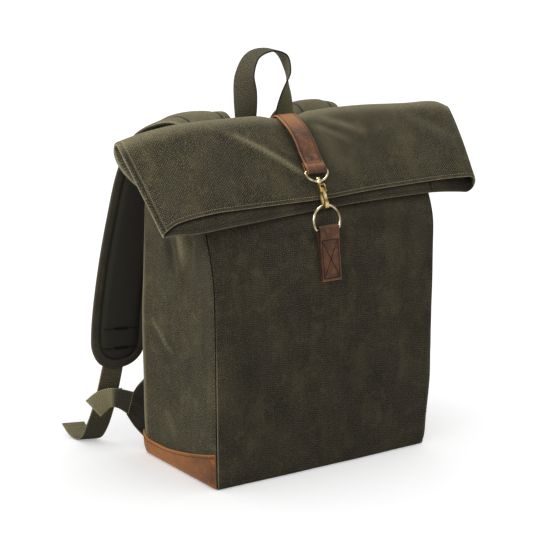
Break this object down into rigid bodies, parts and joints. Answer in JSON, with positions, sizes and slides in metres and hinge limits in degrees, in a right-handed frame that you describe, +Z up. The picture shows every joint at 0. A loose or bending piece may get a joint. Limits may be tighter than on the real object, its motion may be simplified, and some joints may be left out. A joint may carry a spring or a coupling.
{
  "type": "waxed canvas backpack",
  "caption": "Tall waxed canvas backpack with a folded-over top, a leather closure strap with a brass snap hook, a webbing handle and padded shoulder straps.",
  "frame": {"origin": "middle of the leather base's underside, on the floor", "axes": "+Z up, -Y to the front, +X to the right as seen from the front"},
  "size_m": [0.4558, 0.2797, 0.4775],
  "materials": {
    "canvas": "waxed canvas, dull with a soft sheen on folds",
    "pad_canvas": "canvas over padding",
    "webbing": "woven herringbone webbing",
    "leather": "oiled brown leather, satin",
    "brass": "antique brass, satin",
    "pale_brass": "pale polished brass wire",
    "plastic": "dark moulded plastic"
  },
  "bodies": {
    "bag": {"front_panel": "canvas", "body_wrap": "canvas", "anchor_tab_left": "canvas", "anchor_tab_right": "canvas", "shoulder_pad_left": "pad_canvas", "shoulder_pad_right": "pad_canvas", "carry_handle": "webbing", "pad_web_left": "webbing", "pad_web_right": "webbing", "anchor_web_left": "webbing", "anchor_web_right": "webbing", "leather_base": "leather", "closure_strap": "leather", "ring_tab": "leather", "snap_hook": "brass", "swivel_eye": "pale_brass", "d_ring": "pale_brass", "strap_slider_left": "plastic", "strap_slider_right": "plastic"},
    "gate": {"snap_gate": "brass"}
  },
  "joints": [
    {"name": "gate_hinge", "type": "hinge", "parent": "bag", "child": "gate", "pos_m": [0, -0.07047, 0.33044], "axis": [1, 0, 0], "range_deg": [0, 16], "stiffness_Nm_per_rad": 0.02, "springref_deg": -11.46}
  ]
}
